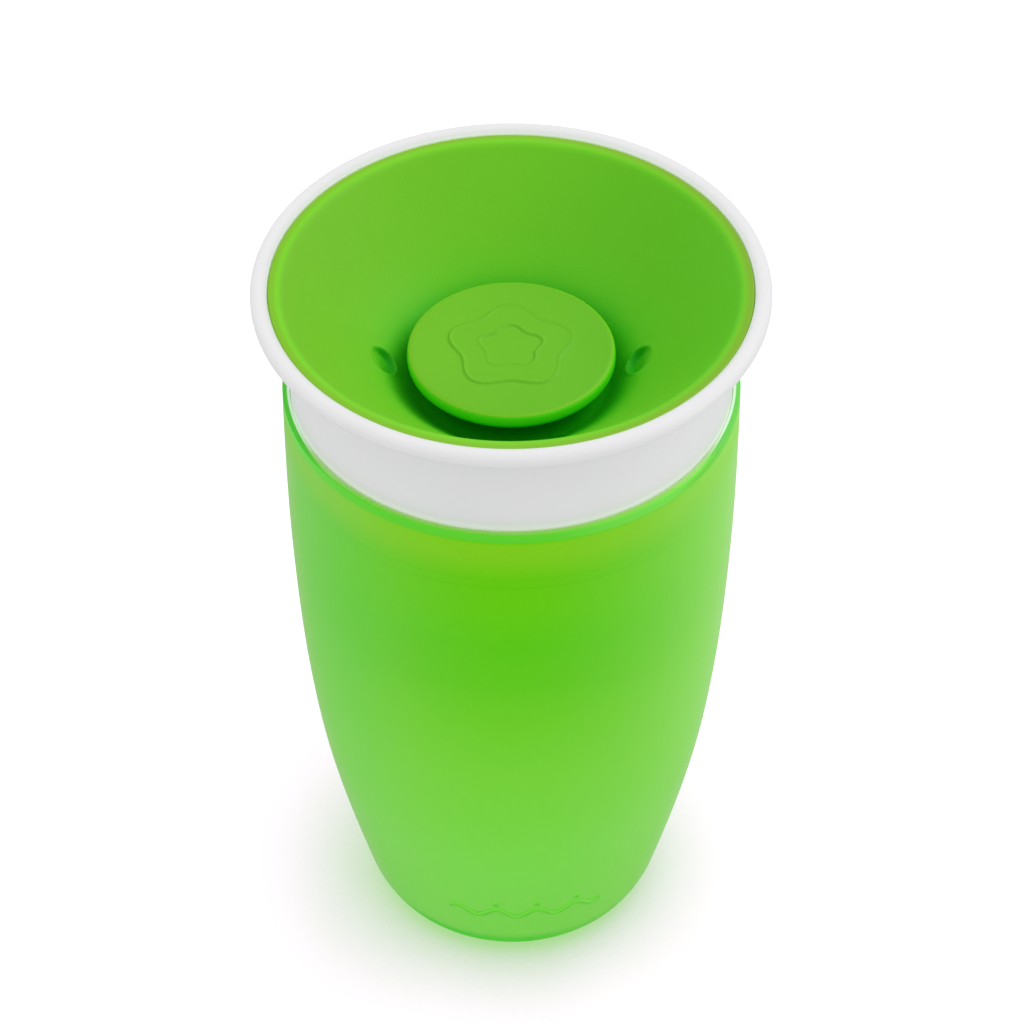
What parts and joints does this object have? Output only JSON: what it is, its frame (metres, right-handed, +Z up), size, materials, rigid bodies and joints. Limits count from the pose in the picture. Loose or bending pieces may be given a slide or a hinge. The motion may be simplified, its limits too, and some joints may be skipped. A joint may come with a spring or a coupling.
{
  "type": "sippy cup",
  "caption": "Spoutless training cup: tapered translucent tumbler with a screw-in rolled-lip collar, funnel valve disc and pull knob.",
  "frame": {"origin": "centre of the foot's resting face, on the cup's axis", "axes": "+Z up along the cup's axis, +X through one air vent, -Y towards the viewer"},
  "size_m": [0.0822, 0.0822, 0.1314],
  "materials": {
    "cup_plastic": "frosted translucent green",
    "collar_plastic": "satin white",
    "gasket_silicone": "matte milky",
    "support_plastic": "satin white",
    "disc_silicone": "matte green",
    "knob_plastic": "satin green"
  },
  "bodies": {
    "cup": {"cup_body": "cup_plastic"},
    "gasket": {"collar_gasket": "gasket_silicone"},
    "collar": {"lid_collar": "collar_plastic", "valve_support": "support_plastic"},
    "knob": {"centre_knob": "knob_plastic"},
    "disc": {"valve_disc": "disc_silicone"}
  },
  "joints": [
    {"name": "lid_lift", "type": "slide", "parent": "cup", "child": "gasket", "axis": [0, 0, 1], "range_m": [0, 0.0121]},
    {"name": "lid_turn", "type": "hinge", "parent": "gasket", "child": "collar", "pos_m": [0, 0, 0.105], "axis": [0, 0, 1], "range_deg": [0, 360]},
    {"name": "valve_lift", "type": "slide", "parent": "collar", "child": "knob", "axis": [0, 0, 1], "range_m": [0, 0.035]},
    {"name": "seal_open", "type": "slide", "parent": "knob", "child": "disc", "axis": [0, 0, 1], "range_m": [0, 0.0012]}
  ],
  "couplings": [
    {"joint": "lid_lift", "follows": "lid_turn", "m_per_rad": 0.0019099}
  ]
}
